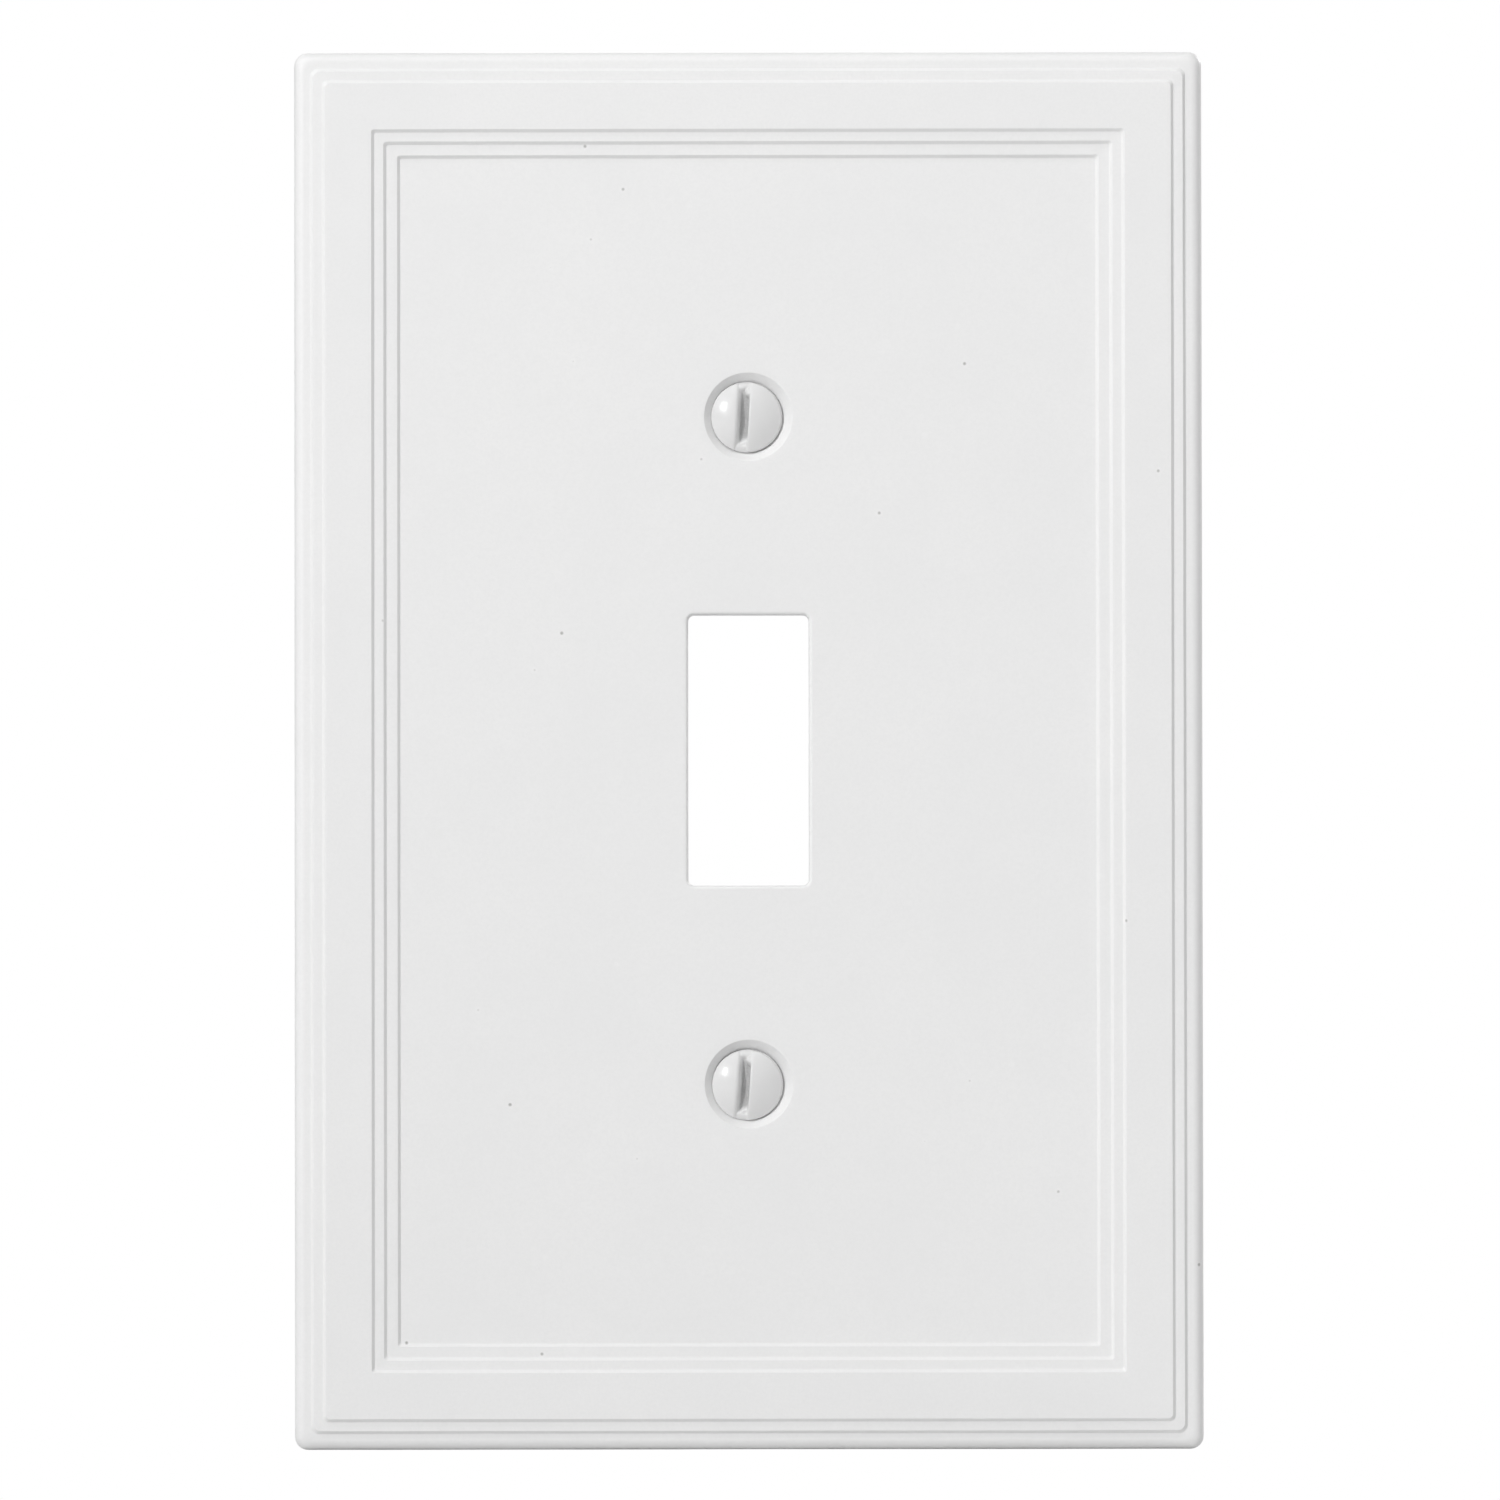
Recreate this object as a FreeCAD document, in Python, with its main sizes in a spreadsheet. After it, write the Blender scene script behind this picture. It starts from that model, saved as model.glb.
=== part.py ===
import FreeCAD, Part
import math
import os
import Sketcher

# A single-toggle wall plate cover: one cast, painted face plate with a stepped frame, two oval-head
# slotted machine screws, and the two thin captive washers that keep the screws in the plate.
#
# Every piece is drawn lying on its back: +X is the plate's width, +Y its height, and +Z points out of
# the wall, with the wall surface at zero. stand_up() then turns each piece upright, so that in the
# finished model +Z is up, the front faces -Y, and the origin is the middle of the wall side.

SIZES = [
    # the plate's outline and its stepped frame, working inwards from the outer edge
    ("plate_width", 82.1, "overall width"),
    ("plate_height", 126.3, "overall height"),
    ("plate_corner", 1.2, "plan radius of the outer corners"),
    ("shoulder", 5.8, "height of the outer ledge above the wall"),
    ("shoulder_round", 1.0, "rounding of the outer front edge"),
    ("step_rise", 0.3, "height of each of the five steps"),
    ("draft", 40.0, "casting draft on every step, in degrees"),
    ("step_one", 1.63, "outer edge to the middle of the first step up"),
    ("step_two", 2.72, "outer edge to the middle of the second step up"),
    ("step_three", 7.15, "outer edge to the middle of the first step down"),
    ("step_four", 8.24, "outer edge to the middle of the second step down"),
    ("step_five", 9.47, "outer edge to the middle of the third step down"),
    ("corner_one", 0.65, "plan radius at the corners of the first step up"),
    ("corner_two", 0.42, "plan radius at the corners of the second step up"),
    ("falling_corner", 0.35, "plan radius at the corners of the three steps down"),
    ("step_round", 0.1, "rounding of every step's edges"),
    # the opening for the switch's toggle lever
    ("opening_width", 10.93, "toggle opening width"),
    ("opening_height", 24.5, "toggle opening height"),
    ("opening_corner", 0.55, "toggle opening corner radius"),
    ("opening_round", 0.3, "rounding of the opening's front edge"),
    # the hollow back
    ("rim_wall", 3.3, "width of the flat rim that rests on the wall"),
    ("rim_edge", 0.25, "chamfer around the outside of the rim"),
    ("hollow_depth", 2.7, "depth of the hollow back"),
    ("hollow_corner", 2.0, "plan radius of the hollow's corners"),
    ("boss_radius", 4.6, "radius of the boss behind each screw hole"),
    ("boss_rise", 0.5, "height of the bosses and of the ribs above the hollow's floor"),
    ("rib_width", 1.4, "width of the rib around the opening and of the long ribs"),
    ("rib_spread", 54.0, "distance between the two long ribs"),
    ("rib_length", 104.0, "length of the long ribs"),
    ("rib_corner", 0.6, "plan radius at the ends of the long ribs"),
    # screw holes: the standard spacing for a toggle switch
    ("screw_spacing", 60.325, "distance between the two screws"),
    ("hole_clearance", 4.0, "diameter of the plain hole behind each countersink"),
    ("sink_diameter", 8.0, "countersink diameter at the face of the panel"),
    ("sink_angle", 82.0, "included angle of the countersink and of the screw head"),
    # the screws: No. 6-32 unified thread, five eighths of an inch, oval head
    ("screw_length", 15.875, "from the head's rim to the tip"),
    ("head_radius", 3.15, "radius of the head"),
    ("head_land", 0.15, "height of the short straight rim of the head"),
    ("head_dome", 0.9, "height of the dome above that rim"),
    ("seat_gap", 0.03, "gap along the axis between the head's cone and its seat"),
    ("slot_width", 1.1, "width of the driver slot"),
    ("slot_depth", 1.1, "depth of the driver slot below the top of the dome"),
    ("slot_shift", -0.32, "distance of the slot's middle from the head's axis, to one side"),
    ("slot_reach", 9.5, "length of the slot's outline, which runs out past the head's rim"),
    ("slot_corner", 0.25, "corner radius of the slot's outline, outside the head"),
    ("crest_radius", 1.7526, "outer radius of the thread"),
    ("neck_radius", 1.3, "radius of the plain neck, just inside the thread's root"),
    ("root_radius", 1.323, "radius at the bottom of the thread groove"),
    ("pitch", 0.79375, "thread pitch, thirty-two to the inch"),
    ("groove_margin", 0.04, "how far the groove's outline stands outside the crest"),
    ("thread_end", 1.45, "height above the wall where the thread's run-out meets the neck"),
    ("groove_end", 0.63, "how far the groove climbs past there, into the neck"),
    ("upper_lean", -3.2, "lean of the upper slot from upright, in degrees"),
    ("lower_lean", -4.0, "lean of the lower slot from upright, in degrees"),
    # the captive washers
    ("washer_hole", 1.80, "hole radius, which just clears the thread's crests"),
    ("washer_radius", 3.2, "outer radius"),
    ("washer_thickness", 0.5, "thickness"),
    ("washer_gap", 0.05, "gap between a washer and the boss it bears on"),
]

SAME_HEIGHT = 1e-4  # two heights that differ by less than this count as one
PANEL = "shoulder - step_rise"  # height of the recessed centre panel above the wall

doc = FreeCAD.newDocument("wall_plate_cover")
sheet = doc.addObject("Spreadsheet::Sheet", "Sizes")
for row, (alias, number, note) in enumerate(SIZES, start=1):
    sheet.set(f"A{row}", note)
    sheet.set(f"B{row}", str(number))
    sheet.setAlias(f"B{row}", alias)
doc.recompute()


def named(expression):
    """The expression with each size's alias written as a reference to the sheet."""
    words = []
    for word in expression.split():
        bare = word.strip("()")
        is_alias = any(bare == alias for alias, _, _ in SIZES)
        words.append(word.replace(bare, "Sizes." + bare) if is_alias else word)
    return " ".join(words)


def value(expression):
    """What an expression over the sheet's sizes comes to now, as a plain number."""
    result = sheet.evalExpression(named(expression))
    return float(getattr(result, "Value", result))


def bind(thing, path, expression):
    """Drive one property of an object, or one constraint of a sketch, from the sheet."""
    thing.setExpression(path, named(expression))


def stand_up(body, height="0", forward="0", turn="0"):
    """Turn a piece drawn lying down so that it stands upright, height above the origin.

    forward is how far its own origin lies in front of the wall, and turn is a spin in degrees
    about its own +Z before it is stood up.
    """
    upright = FreeCAD.Rotation(FreeCAD.Vector(1, 0, 0), 90)
    spin = FreeCAD.Rotation(FreeCAD.Vector(0, 0, 1), value(turn))
    body.Placement = FreeCAD.Placement(FreeCAD.Vector(), upright * spin)
    bind(body, ".Placement.Base.y", f"0 - ( {forward} )")
    bind(body, ".Placement.Base.z", height)


def new_body(label):
    body = doc.addObject("PartDesign::Body", label)
    body.Label = label
    return body


def new_sketch(body, name, plane="XY_Plane", height="0"):
    """A sketch on one of the body's own origin planes, raised along its normal by height."""
    sketch = body.newObject("Sketcher::SketchObject", name)
    support = next(item for item in body.Origin.OriginFeatures if item.Role == plane)
    sketch.AttachmentSupport = [(support, "")]
    sketch.MapMode = "FlatFace"
    bind(sketch, ".AttachmentOffset.Base.z", height)
    return sketch


def dimension(sketch, name, expression, kind, *where):
    """Add a driving dimension to a sketch, named and bound to the sheet."""
    index = sketch.addConstraint(Sketcher.Constraint(kind, *where, value(expression)))
    sketch.renameConstraint(index, name)
    bind(sketch, f"Constraints.{name}", expression)


def rounded_rectangle(sketch, width, height, radius, name=""):
    """A closed rectangle with round corners, centred on the sketch's origin."""
    half_w, half_h, r = value(width) / 2, value(height) / 2, value(radius)
    starts = [(half_w, -half_h, -90), (half_w, half_h, 0), (-half_w, half_h, 90), (-half_w, -half_h, 180)]
    sides, arcs = [], []
    for x, y, start in starts:
        centre = FreeCAD.Vector(x - math.copysign(r, x), y - math.copysign(r, y), 0)
        circle = Part.Circle(centre, FreeCAD.Vector(0, 0, 1), r)
        corner = Part.ArcOfCircle(circle, math.radians(start), math.radians(start + 90))
        arcs.append(sketch.addGeometry(corner))
    for this, following in zip(arcs, arcs[1:] + arcs[:1]):
        ends = (sketch.Geometry[this].EndPoint, sketch.Geometry[following].StartPoint)
        sides.append(sketch.addGeometry(Part.LineSegment(*ends)))
    for this, side, following in zip(arcs, sides, arcs[1:] + arcs[:1]):
        sketch.addConstraint(Sketcher.Constraint("Tangent", this, 2, side, 1))
        sketch.addConstraint(Sketcher.Constraint("Tangent", side, 2, following, 1))
    for side, kind in zip(sides, ("Vertical", "Horizontal", "Vertical", "Horizontal")):
        sketch.addConstraint(Sketcher.Constraint(kind, side))
    for arc in arcs[1:]:
        sketch.addConstraint(Sketcher.Constraint("Equal", arcs[0], arc))
    sketch.addConstraint(Sketcher.Constraint("Symmetric", arcs[0], 3, arcs[2], 3, -1, 1))
    dimension(sketch, name + "width", width, "DistanceX", sides[2], 1, sides[0], 1)
    dimension(sketch, name + "height", height, "DistanceY", sides[3], 1, sides[1], 1)
    dimension(sketch, name + "radius", radius, "Radius", arcs[0])


def circle_at(sketch, name, radius, along="0"):
    """A circle with its centre on the sketch's vertical axis, at a height that may be negative."""
    y = value(along)
    centre = FreeCAD.Vector(0, y, 0)
    circle = sketch.addGeometry(Part.Circle(centre, FreeCAD.Vector(0, 0, 1), value(radius)))
    if y:
        sketch.addConstraint(Sketcher.Constraint("PointOnObject", circle, 3, -2))
        ends = (-1, 1, circle, 3) if y > 0 else (circle, 3, -1, 1)
        size = along if y > 0 else f"0 - ( {along} )"
        dimension(sketch, name + "_along", size, "DistanceY", *ends)
    else:
        sketch.addConstraint(Sketcher.Constraint("Coincident", circle, 3, -1, 1))
    dimension(sketch, name + "_radius", radius, "Radius", circle)


def closed_profile(sketch, corners, domed=()):
    """A closed outline through named corners, in the half plane right of the vertical axis.

    corners maps a name to its (across, up) sizes, in order. The side that follows a corner named
    in domed is an arc whose centre lies on the vertical axis. The other sides are straight.
    """
    names = list(corners)
    points = [FreeCAD.Vector(value(across), value(up), 0) for across, up in corners.values()]
    sides = []
    for i, name in enumerate(names):
        start, end = points[i], points[(i + 1) % len(points)]
        if name in domed:
            rise = start.y - end.y
            bulge = (end.x**2 + rise**2) / (2 * rise)
            circle = Part.Circle(FreeCAD.Vector(0, start.y - bulge, 0), FreeCAD.Vector(0, 0, 1), bulge)
            low = math.asin((bulge - rise) / bulge)
            sides.append(sketch.addGeometry(Part.ArcOfCircle(circle, low, math.pi / 2)))
            sketch.addConstraint(Sketcher.Constraint("PointOnObject", sides[-1], 3, -2))
        else:
            sides.append(sketch.addGeometry(Part.LineSegment(start, end)))
    # an arc runs anticlockwise, so on a domed side its second end is the corner it leaves from
    for i, name in enumerate(names):
        before = names[i - 1]
        arrive = 1 if before in domed else 2
        leave = 2 if name in domed else 1
        sketch.addConstraint(Sketcher.Constraint("Coincident", sides[i - 1], arrive, sides[i], leave))
        for axis, place, size in (("X", -2, corners[name][0]), ("Y", -1, corners[name][1])):
            if value(size):
                where = (-1, 1, sides[i], leave)
                dimension(sketch, f"{name}_{axis}", size, "Distance" + axis, *where)
            else:
                sketch.addConstraint(Sketcher.Constraint("PointOnObject", sides[i], leave, place))


def pad(body, name, sketch, length, taper="0", downwards=False):
    """Raise a sketch into the body's solid. taper is positive where the walls lean inwards."""
    feature = body.newObject("PartDesign::Pad", name)
    feature.Profile = (sketch, [""])
    feature.Reversed = downwards
    bind(feature, "Length", length)
    bind(feature, "TaperAngle", f"0 - {taper}")
    return feature


def pocket(body, name, sketch, length, taper="0", upwards=False):
    """Cut a sketch out of the body's solid, and check that the cut took something away.

    taper is positive where the pocket narrows with depth.
    """
    before = body.Shape.Volume
    feature = body.newObject("PartDesign::Pocket", name)
    feature.Profile = (sketch, [""])
    feature.Reversed = upwards
    bind(feature, "Length", length)
    bind(feature, "TaperAngle", f"0 - {taper}")
    doc.recompute()
    if feature.Shape.Volume >= before:
        raise RuntimeError(f"{name} cut nothing")
    return feature


def round_edges(body, name, kind, size, wanted):
    """Fillet or chamfer every edge of the body's solid that wanted() accepts."""
    doc.recompute()
    base = body.Tip
    edges = [f"Edge{i}" for i, edge in enumerate(base.Shape.Edges, start=1) if wanted(edge)]
    if not edges:
        raise RuntimeError(f"{name} found no edges")
    feature = body.newObject("PartDesign::" + kind, name)
    feature.Base = (base, edges)
    bind(feature, "Radius" if kind == "Fillet" else "Size", size)
    return feature


def level(edge, height):
    """Whether the whole edge lies at one height in its own piece's frame."""
    return all(abs(vertex.Z - value(height)) < SAME_HEIGHT for vertex in edge.Vertexes)


def frame_outline(body, name, inset, corner, height):
    """A sketch of the plate's outline moved in by inset, at a height above the wall."""
    sketch = new_sketch(body, name, height=height)
    rounded_rectangle(sketch, f"plate_width - 2 * ( {inset} )", f"plate_height - 2 * ( {inset} )", corner)
    return sketch


def face_plate():
    body = new_body("face_plate")
    outline = frame_outline(body, "outline", "0", "plate_corner", "0")
    pad(body, "slab", outline, "shoulder")
    round_edges(body, "outer_round", "Fillet", "shoulder_round", lambda edge: level(edge, "shoulder"))
    stepped_frame(body)
    hollow_back(body)
    toggle_opening(body)
    screw_holes(body)
    middle_of_rim = value("plate_width / 2 - rim_wall / 2")
    round_edges(
        body, "rim_chamfer", "Chamfer", "rim_edge",
        lambda edge: level(edge, "0") and max(-edge.BoundBox.XMin, edge.BoundBox.XMax) > middle_of_rim,
    )
    stand_up(body)
    return body


def stepped_frame(body):
    """Two steps up from the outer ledge to a broad raised band, then three down to the panel."""
    half_lean = "step_rise * tan( draft * 1deg ) / 2"
    rising = (("step_one", "corner_one", "shoulder"), ("step_two", "corner_two", "shoulder + step_rise"))
    for name, corner, height in rising:
        foot = frame_outline(body, name + "_outline", f"{name} - {half_lean}", corner, height)
        pad(body, name, foot, "step_rise", taper="draft")
    doc.recompute()

    for steps_up, name in ((2, "step_three"), (1, "step_four"), (0, "step_five")):
        height = f"shoulder + {steps_up} * step_rise"
        mouth = frame_outline(body, name + "_outline", f"{name} - {half_lean}", "falling_corner", height)
        pocket(body, name, mouth, "step_rise", taper="draft")

    ledges = [f"shoulder + {steps} * step_rise" for steps in (-1, 0, 1, 2)]
    outermost = value("plate_width / 2 - ( step_one + shoulder_round ) / 2")
    round_edges(
        body, "step_rounds", "Fillet", "step_round",
        lambda edge: edge.BoundBox.XMax < outermost and any(level(edge, ledge) for ledge in ledges),
    )


def hollow_back(body):
    """The hollow behind the face, with a boss behind each screw hole and ribs that stiffen the panel."""
    hollow = frame_outline(body, "hollow_outline", "rim_wall", "hollow_corner", "0")
    pocket(body, "hollow", hollow, "hollow_depth", upwards=True)
    for side in (-1, 1):
        place = new_sketch(body, f"boss_circle_{side + 1}", height="hollow_depth")
        circle_at(place, "boss", "boss_radius", f"screw_spacing * {side} / 2")
        pad(body, f"boss_{side + 1}", place, "boss_rise", downwards=True)
    collar = new_sketch(body, "collar_outline", height="hollow_depth")
    grown = ("opening_width + 2 * rib_width", "opening_height + 2 * rib_width")
    rounded_rectangle(collar, *grown, "opening_corner + rib_width")
    pad(body, "collar", collar, "boss_rise", downwards=True)
    for side in (-1, 1):
        rib = new_sketch(body, f"rib_outline_{side + 1}", height="hollow_depth")
        bind(rib, ".AttachmentOffset.Base.x", f"rib_spread * {side} / 2")
        rounded_rectangle(rib, "rib_width", "rib_length", "rib_corner")
        pad(body, f"rib_{side + 1}", rib, "boss_rise", downwards=True)


def toggle_opening(body):
    """The opening for the toggle lever, with its front edge rounded."""
    outline = new_sketch(body, "opening_outline", height="shoulder")
    rounded_rectangle(outline, "opening_width", "opening_height", "opening_corner")
    doc.recompute()
    pocket(body, "toggle_opening", outline, "shoulder")
    beside_opening = value("opening_width / 2 + opening_round")
    round_edges(
        body, "opening_edge", "Fillet", "opening_round",
        lambda edge: level(edge, PANEL) and edge.BoundBox.XMax < beside_opening,
    )


def screw_holes(body):
    """Two countersunk clearance holes, drilled from the face of the panel."""
    centres = new_sketch(body, "screw_centres", height=PANEL)
    for name, side in (("lower", -1), ("upper", 1)):
        circle_at(centres, name, "hole_clearance / 2", f"screw_spacing * {side} / 2")
    doc.recompute()
    before = body.Shape.Volume
    hole = body.newObject("PartDesign::Hole", "screw_holes")
    hole.Profile = (centres, [""])
    doc.recompute()
    hole.ThreadType = "None"
    hole.DepthType = "ThroughAll"
    hole.HoleCutType = "Countersink"
    hole.HoleCutCustomValues = True
    bind(hole, "Diameter", "hole_clearance")
    bind(hole, "HoleCutDiameter", "sink_diameter")
    bind(hole, "HoleCutCountersinkAngle", "sink_angle")
    doc.recompute()
    if hole.Shape.Volume >= before:
        raise RuntimeError("the screw holes cut nothing")


def screw(label, side, lean):
    """A 6-32 oval-head slotted machine screw, drawn with its tip at its own origin and its head up."""
    body = new_body(label)
    profile = new_sketch(body, label + "_profile", plane="XZ_Plane")
    cone = "( head_radius - neck_radius ) / tan( sink_angle * 0.5deg )"
    run_out = "crest_radius - neck_radius"
    neck_top = f"screw_length - {cone}"
    seat = "( sink_diameter / 2 - head_radius ) / tan( sink_angle * 0.5deg )"
    rim_height = f"{PANEL} - {seat} + seat_gap"
    neck_foot = f"screw_length - ( {rim_height} ) + thread_end"
    corners = {
        "dome_top": ("0", "screw_length + head_land + head_dome"),
        "land_top": ("head_radius", "screw_length + head_land"),
        "rim": ("head_radius", "screw_length"),
        "neck_top": ("neck_radius", neck_top),
        "neck_foot": ("neck_radius", neck_foot),
        "thread_top": ("crest_radius", f"{neck_foot} - ( {run_out} )"),
        "thread_foot": ("crest_radius", run_out),
        "tip_edge": ("neck_radius", "0"),
        "tip": ("0", "0"),
    }
    closed_profile(profile, corners, domed=("dome_top",))
    turned = body.newObject("PartDesign::Revolution", label + "_blank")
    turned.Profile = (profile, [""])
    turned.ReferenceAxis = (profile, ["V_Axis"])
    turned.Angle = 360
    doc.recompute()

    cut_thread(body, label, neck_foot)

    driver = new_sketch(body, label + "_slot_outline", height="screw_length + head_land + head_dome")
    bind(driver, ".AttachmentOffset.Base.x", "slot_shift")
    rounded_rectangle(driver, "slot_width", "slot_reach", "slot_corner")
    slot = pocket(body, label + "_slot", driver, "slot_depth")
    slot.Refine = False
    stand_up(body, height=f"screw_spacing * {side} / 2", forward=f"{rim_height} - screw_length", turn=lean)
    return body


def cut_thread(body, label, neck_foot):
    """Cut the right-hand thread as one helical groove that leaves the crest as a plain cylinder.

    The groove has the standard 60 degree flanks and a flat root a quarter of the pitch wide. It
    starts below the tip and runs out into the neck. The solid isn't refined, so that the crest
    stays one face a turn.
    """
    before = body.Shape.Volume
    groove = new_sketch(body, label + "_groove_outline", plane="XZ_Plane")
    bind(groove, ".AttachmentOffset.Base.y", "0 - pitch")
    mouth = "crest_radius + groove_margin"
    flank = f"( {mouth} - root_radius ) * tan( 30deg )"
    corners = {
        "root_low": ("root_radius", "pitch * 3 / 8"),
        "mouth_low": (mouth, f"pitch * 3 / 8 - {flank}"),
        "mouth_high": (mouth, f"pitch * 5 / 8 + {flank}"),
        "root_high": ("root_radius", "pitch * 5 / 8"),
    }
    closed_profile(groove, corners)
    helix = body.newObject("PartDesign::SubtractiveHelix", label + "_thread")
    helix.Profile = (groove, [""])
    helix.ReferenceAxis = (groove, ["V_Axis"])
    helix.Mode = "pitch-height-angle"
    helix.Refine = False
    bind(helix, "Pitch", "pitch")
    bind(helix, "Height", f"{neck_foot} + groove_end")
    doc.recompute()
    if helix.Shape.Volume >= before:
        raise RuntimeError("the thread cut nothing")


def washer(label, side):
    """A thin captive washer, which bears on the back of its boss."""
    body = new_body(label)
    ring = new_sketch(body, label + "_outline")
    circle_at(ring, "outer", "washer_radius")
    circle_at(ring, "inner", "washer_hole")
    pad(body, label + "_disc", ring, "washer_thickness")
    forward = "hollow_depth - boss_rise - washer_gap - washer_thickness"
    stand_up(body, height=f"screw_spacing * {side} / 2", forward=forward)
    return body


def check(pieces):
    """Stop with a message if any feature failed, or if a piece isn't one valid solid."""
    for thing in doc.Objects:
        if "Invalid" in thing.State or "Error" in thing.State:
            raise RuntimeError(f"{thing.Label} didn't compute: {thing.State}")
    for piece in pieces:
        shape = piece.Shape
        if shape.isNull() or not shape.isValid() or len(shape.Solids) != 1:
            raise RuntimeError(f"{piece.Label} isn't one valid solid")
        print(f"{piece.Label}: {shape.Volume:.1f} mm3")


pieces = [
    face_plate(),
    screw("upper_screw", 1, "upper_lean"),
    screw("lower_screw", -1, "lower_lean"),
    washer("upper_captive_washer", 1),
    washer("lower_captive_washer", -1),
]
doc.recompute()
check(pieces)
os.makedirs("parts", exist_ok=True)
for piece in pieces:
    piece.Shape.exportStep(f"parts/{piece.Label}.step")
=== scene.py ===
"""A single-toggle wall plate cover: painted casting, two enamelled screws and their captive washers.

Everything is in metres in the frame's own axes: +X right, +Z up, and the plate's front faces -Y. The
wall is the plane y = 0. Plain sizes below are in millimetres and become metres through MM.
"""

import math

import bmesh
import bpy
from mathutils import Matrix, Vector, noise


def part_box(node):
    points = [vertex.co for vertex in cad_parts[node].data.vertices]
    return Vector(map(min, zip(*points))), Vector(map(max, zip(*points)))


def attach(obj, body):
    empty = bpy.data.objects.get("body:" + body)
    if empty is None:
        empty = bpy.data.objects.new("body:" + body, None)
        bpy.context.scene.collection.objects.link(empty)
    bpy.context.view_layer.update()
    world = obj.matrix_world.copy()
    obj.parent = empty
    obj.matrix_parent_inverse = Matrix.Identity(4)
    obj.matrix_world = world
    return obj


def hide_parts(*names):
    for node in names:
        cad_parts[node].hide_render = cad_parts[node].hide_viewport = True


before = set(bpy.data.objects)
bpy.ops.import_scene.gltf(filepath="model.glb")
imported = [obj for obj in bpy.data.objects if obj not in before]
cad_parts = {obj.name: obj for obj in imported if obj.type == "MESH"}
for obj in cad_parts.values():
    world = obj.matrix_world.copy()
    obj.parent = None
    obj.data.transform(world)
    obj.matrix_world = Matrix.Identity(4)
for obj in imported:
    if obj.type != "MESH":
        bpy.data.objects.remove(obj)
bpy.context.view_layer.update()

noise.seed_set(1)  # without a seed, Blender draws noise_vector from the clock

MM = 0.001

# ---------------------------------------------------------------- sizes of the casting

PLATE_LOW, PLATE_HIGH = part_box("face_plate")
HALF_WIDTH = (PLATE_HIGH.x - PLATE_LOW.x) / 2 / MM
HALF_HEIGHT = (PLATE_HIGH.z - PLATE_LOW.z) / 2 / MM
BAND = -PLATE_LOW.y / MM  # height of the raised band above the wall
STEP = 0.3  # rise of each step
LEDGE_TWO = BAND - STEP
LEDGE_ONE = BAND - 2 * STEP
PANEL = BAND - 3 * STEP
STEP_DRAFT = 40  # lean of each step's rise, in degrees
STEP_LEAN = STEP * math.tan(math.radians(STEP_DRAFT)) / 2  # half of what the rise covers in plan
STEP_ROUND = 0.1
OUTER_ROUND = 1.0
# each step as (outer edge to the step's middle, height outside it, height inside it)
RISING_STEPS = ((1.63, LEDGE_ONE, LEDGE_TWO), (2.72, LEDGE_TWO, BAND))
FALLING_STEPS = ((7.15, BAND, LEDGE_TWO), (8.24, LEDGE_TWO, LEDGE_ONE), (9.47, LEDGE_ONE, PANEL))
# plan radius of the frame's corners, as (inset from the outer edge, radius)
CORNERS = (
    (0.0, 1.2), (0.6, 0.95), (1.15, 0.8), (1.63, 0.68), (2.2, 0.55), (2.72, 0.46), (3.4, 0.4),
    (6.6, 0.3), (7.15, 0.24), (8.24, 0.3), (9.47, 0.22), (10.2, 0.15), (11.0, 0.0),
)
PANEL_INSET = 11.0  # outer edge to the edge of the panel's grid of faces
RIM_WALL = 3.3
RIM_ROUND = 0.25
FLOOR = 2.7  # height of the hollow's floor above the wall
FLOOR_INSET = 5.0  # outer edge to the edge of the floor's grid of faces
HOLLOW_ROUND = 0.3
BOSS = 2.2  # height of the back faces of the bosses, the collar and the ribs above the wall
BOSS_RADIUS = 4.6
RIB_X, RIB_END = 27.0, 52.0  # where each long rib's middle and its ends lie
RIB_FOOT, RIB_TOP = 0.85, 0.6  # half widths of a long rib at the floor and at its back face
RIB_RAMP = 0.4  # length of the slope at each end of a long rib
OPENING = (5.465, 12.25, 0.55)  # half width, half height and corner radius of the toggle opening
OPENING_ROUND = 0.3
COLLAR_WIDTH = 1.4  # width of the collar behind the opening
BACK_DRAFT = 0.1  # how far a boss's or the collar's foot stands out past its back face
BACK_MARGIN = 0.6  # flat floor kept round a boss or the collar
BACK_ROUND, SINK_ROUND = 0.12, 0.1
SINK_RADIUS, BORE_RADIUS = 4.0, 2.0
SINK_HALF_ANGLE = 41
SINK_SLOPE = math.tan(math.radians(SINK_HALF_ANGLE))

# ---------------------------------------------------------------- mesh helpers


def linked(name, mesh):
    """A new object in the scene that shows a mesh."""
    piece = bpy.data.objects.new(name, mesh)
    bpy.context.scene.collection.objects.link(piece)
    return piece


def arc(centre, radius, start, end, count):
    """count + 1 points along an arc, angles in degrees, as (across, up) pairs."""
    angles = [math.radians(start + (end - start) * i / count) for i in range(count + 1)]
    return [(centre[0] + radius * math.cos(a), centre[1] + radius * math.sin(a)) for a in angles]


def rounded(path, radius, count=4):
    """The open path of (across, up) points with each inner corner replaced by a tangent arc."""
    points = [Vector(path[0])]
    for before, corner, after in zip(path, path[1:], path[2:]):
        corner = Vector(corner)
        back = (Vector(before) - corner).normalized()
        ahead = (Vector(after) - corner).normalized()
        opening = back.angle(ahead)
        reach = radius / math.tan(opening / 2)
        bisector = (back + ahead).normalized()
        centre = corner + bisector * radius / math.sin(opening / 2)
        start = (corner + back * reach - centre).normalized()
        end = (corner + ahead * reach - centre).normalized()
        points += [centre + start.slerp(end, i / count) * radius for i in range(count + 1)]
    points.append(Vector(path[-1]))
    return [(p[0], p[1]) for p in points]


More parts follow.
